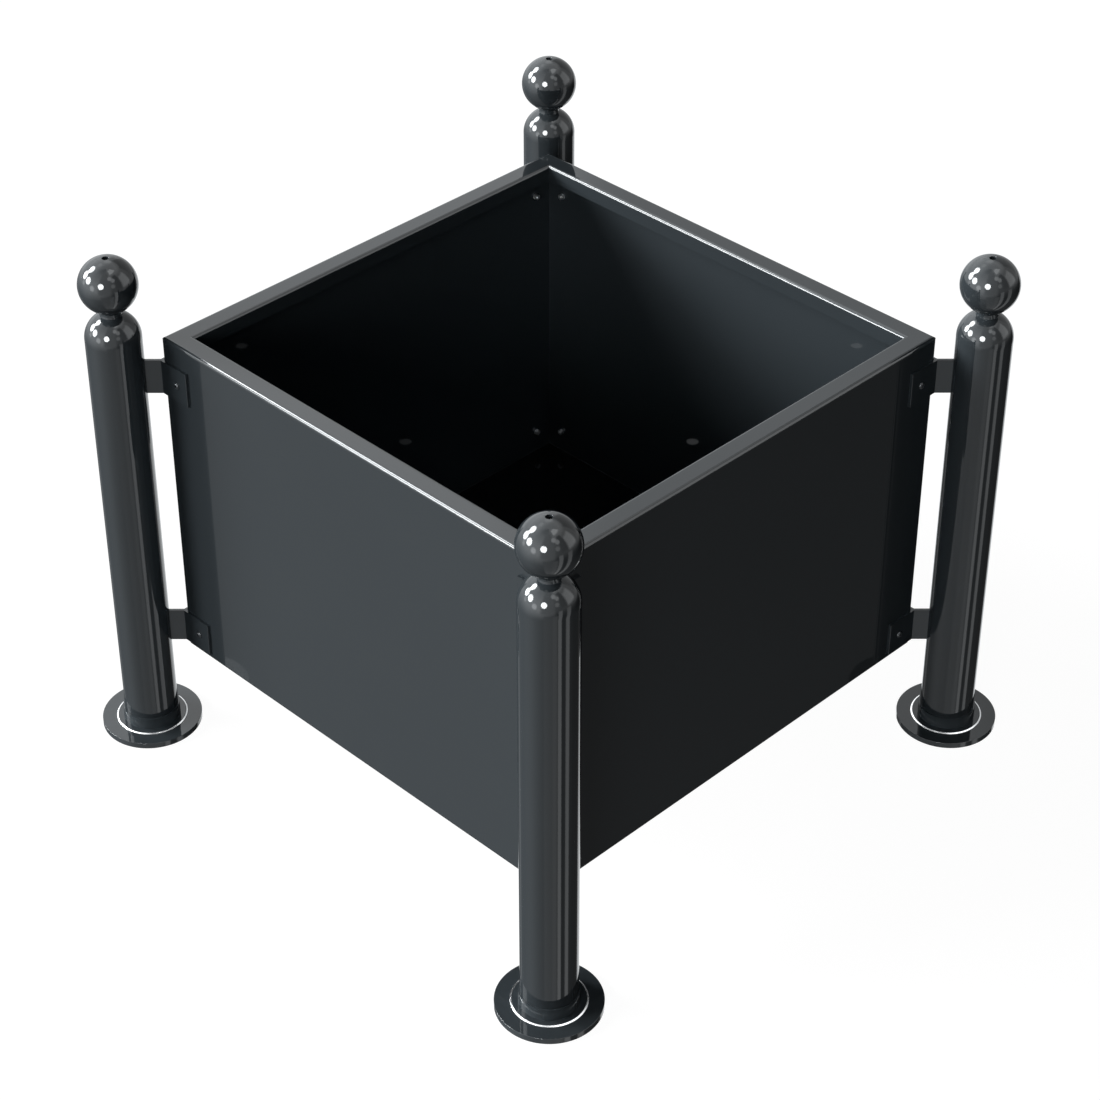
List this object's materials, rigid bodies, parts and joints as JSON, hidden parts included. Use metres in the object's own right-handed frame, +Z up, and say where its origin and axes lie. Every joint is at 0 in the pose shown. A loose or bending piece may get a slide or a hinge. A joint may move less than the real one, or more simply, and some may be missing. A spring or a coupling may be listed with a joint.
{
  "type": "square planter",
  "caption": "Square sheet steel planter box with a folded rim, held by corner brackets between round posts on foot flanges, each post topped by a ball finial.",
  "frame": {"origin": "on the ground, at the centre of the square box", "axes": "+Z up; +X and +Y square to the box sides; the picture looks from the corner between +X and -Y"},
  "size_m": [0.9546, 0.9546, 0.7676],
  "materials": {
    "panel_paint": "gloss",
    "floor_paint": "gloss",
    "channel_zinc": "galvanised",
    "foot_paint": "gloss",
    "ring_steel": "polished",
    "post_paint": "gloss",
    "cap_paint": "gloss",
    "ball_paint": "gloss",
    "bracket_paint": "gloss",
    "tab_paint": "gloss",
    "bolt_black": "gloss",
    "washer_zinc": "zinc plated",
    "nut_zinc": "zinc plated",
    "stud_steel": "plain"
  },
  "bodies": {
    "root": {"panel_right": "panel_paint", "panel_back": "panel_paint", "panel_left": "panel_paint", "panel_front": "panel_paint", "floor_sheet": "floor_paint", "floor_channel_front": "channel_zinc", "floor_channel_back": "channel_zinc", "foot_back_right": "foot_paint", "foot_ring_back_right": "ring_steel", "post_back_right": "post_paint", "post_cap_back_right": "cap_paint", "ball_finial_back_right": "ball_paint", "bracket_upper_back_right": "bracket_paint", "tab_upper_back_right": "tab_paint", "bracket_lower_back_right": "bracket_paint", "tab_lower_back_right": "tab_paint", "foot_back_left": "foot_paint", "foot_ring_back_left": "ring_steel", "post_back_left": "post_paint", "post_cap_back_left": "cap_paint", "ball_finial_back_left": "ball_paint", "bracket_upper_back_left": "bracket_paint", "tab_upper_back_left": "tab_paint", "bracket_lower_back_left": "bracket_paint", "tab_lower_back_left": "tab_paint", "foot_front_left": "foot_paint", "foot_ring_front_left": "ring_steel", "post_front_left": "post_paint", "post_cap_front_left": "cap_paint", "ball_finial_front_left": "ball_paint", "bracket_upper_front_left": "bracket_paint", "tab_upper_front_left": "tab_paint", "bracket_lower_front_left": "bracket_paint", "tab_lower_front_left": "tab_paint", "foot_front_right": "foot_paint", "foot_ring_front_right": "ring_steel", "post_front_right": "post_paint", "post_cap_front_right": "cap_paint", "ball_finial_front_right": "ball_paint", "bracket_upper_front_right": "bracket_paint", "tab_upper_front_right": "tab_paint", "bracket_lower_front_right": "bracket_paint", "tab_lower_front_right": "tab_paint", "bracket_bolts": "bolt_black", "bolt_washers": "washer_zinc", "bolt_nuts": "nut_zinc", "finial_studs": "stud_steel"}
  },
  "joints": []
}
